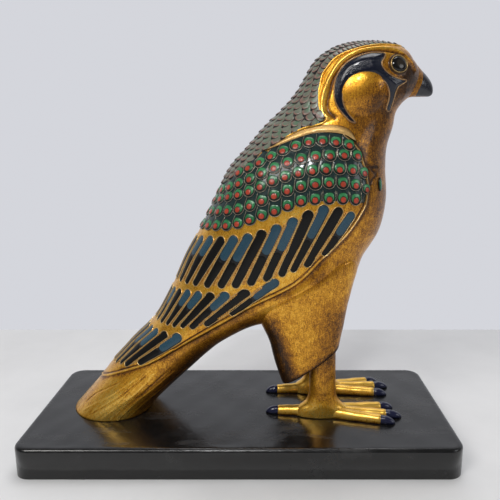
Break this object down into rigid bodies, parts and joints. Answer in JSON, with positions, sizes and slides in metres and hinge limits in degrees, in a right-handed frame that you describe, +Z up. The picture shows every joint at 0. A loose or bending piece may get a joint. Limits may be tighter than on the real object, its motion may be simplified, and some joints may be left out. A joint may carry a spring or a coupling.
{
  "type": "horus falcon figure",
  "caption": "Standing falcon figure, gilded and enamelled, with folded wings and a scaled cape, on a black rectangular plinth.",
  "frame": {"origin": "centre of the plinth's underside", "axes": "+X the way the falcon faces, along the plinth's length, +Y to its left, +Z up"},
  "size_m": [0.182, 0.076, 0.1723],
  "materials": {
    "gilding": "satin gold with a brown antique wash, over cast resin",
    "enamel": "glossy green, blue, red and black paint, over cast resin",
    "black_lacquer": "glossy black lacquer"
  },
  "bodies": {
    "root": {"falcon": "gilding", "plinth": "black_lacquer"}
  },
  "joints": []
}
